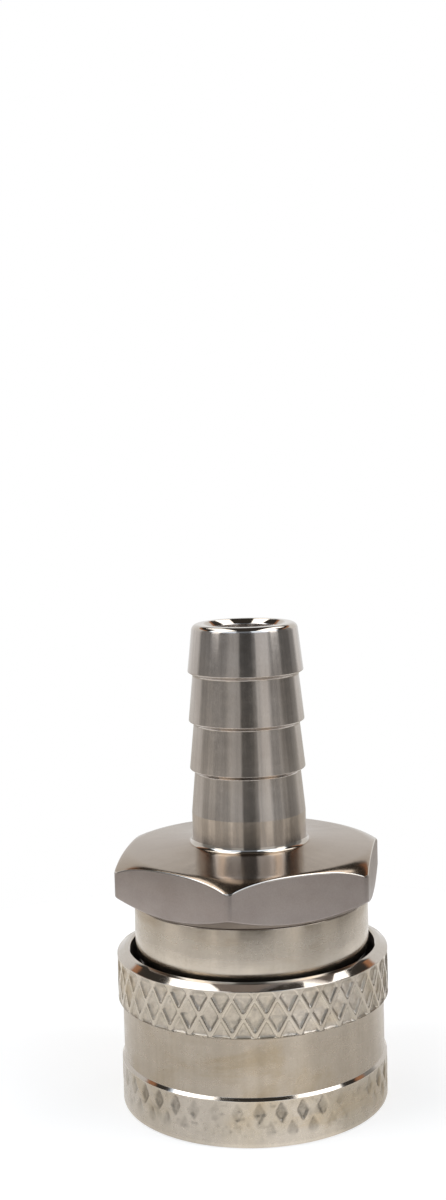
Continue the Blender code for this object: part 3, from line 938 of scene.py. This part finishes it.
# The same for the table top beyond the white sheet, which is warmer and more even.
TABLE = [
    (-82.0, 8.0, 7.0, 0.98),
    (-117.0, 26.0, 10.0, 0.72),
    (-57.0, 15.0, 8.0, 0.66),
    (-38.0, 4.5, 4.0, 1.05),
    (-23.0, 9.0, 5.0, 0.66),
    (2.0, 12.0, 5.0, 0.25),
    (24.0, 10.0, 5.0, 0.50),
    (39.0, 7.0, 5.0, 0.96),
    (60.0, 9.0, 8.0, 0.38),
    (80.0, 8.0, 8.0, 0.66),
    (104.0, 14.0, 10.0, 0.40),
    (170.0, 50.0, 30.0, 0.60),
]


# And for what stands above the walls on the camera's side.
UPPER = [
    (-74.0, 17.0, 5.0, 3.4),
    (-39.0, 17.0, 6.0, 1.5),
    (-1.5, 18.0, 5.0, 0.3),
    (31.5, 14.0, 5.0, 1.9),
    (65.0, 19.0, 5.0, 3.0),
    (180.0, 94.0, 6.0, 0.12),
]


def round_the_room(t, azimuth, panels):
    total, weights = None, None
    for centre, half, edge, level in panels:
        off = t.math("ABSOLUTE", t.math("WRAP", t.math("SUBTRACT", azimuth, centre), 180.0, -180.0))
        weight = t.math("SUBTRACT", 1.0, t.ramp(off, half - edge / 2, half + edge / 2))
        part = t.math("MULTIPLY", weight, level)
        total = part if total is None else t.math("ADD", total, part)
        weights = weight if weights is None else t.math("ADD", weights, weight)
    return t.math("DIVIDE", t.math("ADD", total, 0.02), t.math("ADD", weights, 0.05))


def build_world():
    world = bpy.data.worlds.new("studio")
    scene.world = world
    world.use_nodes = True
    t = Tree(world.node_tree)
    out = t.node("ShaderNodeOutputWorld")
    parts = t.node("ShaderNodeSeparateXYZ")
    t.put(parts.inputs[0], t.node("ShaderNodeTexCoord").outputs["Generated"])
    x, y, z = (parts.outputs[i] for i in range(3))
    azimuth = t.math("MULTIPLY", t.math("ARCTAN2", x, t.math("MULTIPLY", y, -1.0)), 180.0 / math.pi)
    azimuth = t.math("SUBTRACT", azimuth, math.degrees(CAMERA_AZIMUTH))
    elevation = t.math("MULTIPLY", t.math("ARCSINE", z), 180.0 / math.pi)
    walls = round_the_room(t, azimuth, ROOM)
    table = round_the_room(t, azimuth, TABLE)
    low = t.math("SUBTRACT", 1.0, t.ramp(elevation, -9.5, -6.5))
    high = t.ramp(elevation, 28.0, 31.0)
    grey = t.node("ShaderNodeVectorMath", operation="SCALE")
    t.put(grey.inputs[0], t.mix(low, (1.0, 1.0, 1.0), (1.0, 0.945, 0.86)))
    t.put(grey.inputs["Scale"], t.math("ADD", t.math("MULTIPLY", walls, t.math("SUBTRACT", 1.0, low)), t.math("MULTIPLY", table, low)))
    # overhead it is dark, with a strip of warm wood above the backdrop on both sides
    wood = t.math("MULTIPLY", t.math("SUBTRACT", 1.0, t.ramp(elevation, 33.5, 35.5)), t.ramp(t.math("ABSOLUTE", azimuth), 96.0, 106.0))
    wood = t.math("MULTIPLY", wood, t.math("SUBTRACT", 1.0, t.ramp(t.math("ABSOLUTE", azimuth), 150.0, 156.0)))
    ceiling = t.mix(wood, (0.055, 0.05, 0.045), (0.50, 0.25, 0.14))
    # in front, tall panels and a bright wall go on up to the ceiling
    front = t.math("SUBTRACT", 1.0, t.ramp(t.math("ABSOLUTE", azimuth), 90.0, 95.0))
    front = t.math("MULTIPLY", front, t.math("SUBTRACT", 1.0, t.ramp(elevation, 50.0, 54.0)))
    daylight = t.node("ShaderNodeVectorMath", operation="SCALE")
    t.put(daylight.inputs[0], (0.86, 1.0, 1.2))
    t.put(daylight.inputs["Scale"], round_the_room(t, azimuth, UPPER))
    ceiling = t.mix(front, ceiling, daylight.outputs[0])
    room = t.mix(high, grey.outputs[0], ceiling)
    # a tall window on each side, from just above the table to high up
    side_on = t.math("ABSOLUTE", azimuth)
    window = t.math("MULTIPLY", t.ramp(side_on, 55.0, 60.0), t.math("SUBTRACT", 1.0, t.ramp(side_on, 73.0, 78.0)))
    window = t.math("MULTIPLY", window, t.math("MULTIPLY", t.ramp(elevation, 10.0, 14.0), t.math("SUBTRACT", 1.0, t.ramp(elevation, 52.0, 60.0))))
    room = t.mix(window, room, (1.9, 1.9, 1.9))
    seen = t.node("ShaderNodeLightPath")
    colour = t.mix(seen.outputs["Is Camera Ray"], room, (1.0, 1.0, 1.0))
    background = t.node("ShaderNodeBackground")
    t.put(background.inputs["Color"], colour)
    background.inputs["Strength"].default_value = 1.0
    t.tree.links.new(background.outputs[0], out.inputs[0])
    world.cycles.sampling_method = "MANUAL"
    world.cycles.sample_map_resolution = 512


def panel(name, across, along, radiance, colour=(1.0, 1.0, 1.0), z=0.5):
    """A level light panel overhead.  across and along are its extents as slopes from the
    object, to the right and away from the camera's side."""
    light = bpy.data.lights.new(name, "AREA")
    light.shape = "RECTANGLE"
    light.size, light.size_y = (across[1] - across[0]) * z, (along[1] - along[0]) * z
    light.energy = radiance * math.pi * light.size * light.size_y
    light.color = colour
    made = bpy.data.objects.new(name, light)
    scene.collection.objects.link(made)
    made.location = spin @ Vector((sum(across) / 2 * z, sum(along) / 2 * z, z))
    made.rotation_euler = (0.0, 0.0, CAMERA_AZIMUTH)
    made.visible_camera = False
    return made


build_floor()
build_world()
panel("top_light_left", (-0.60, -0.23), (-0.45, 0.8), 2.6)
panel("top_light_left_outer", (-1.05, -0.60), (-0.55, 0.05), 2.6)
panel("top_light_right", (0.34, 0.70), (-0.45, 0.85), 2.6)
panel("top_light_right_outer", (0.72, 1.12), (-0.55, 0.05), 2.6)
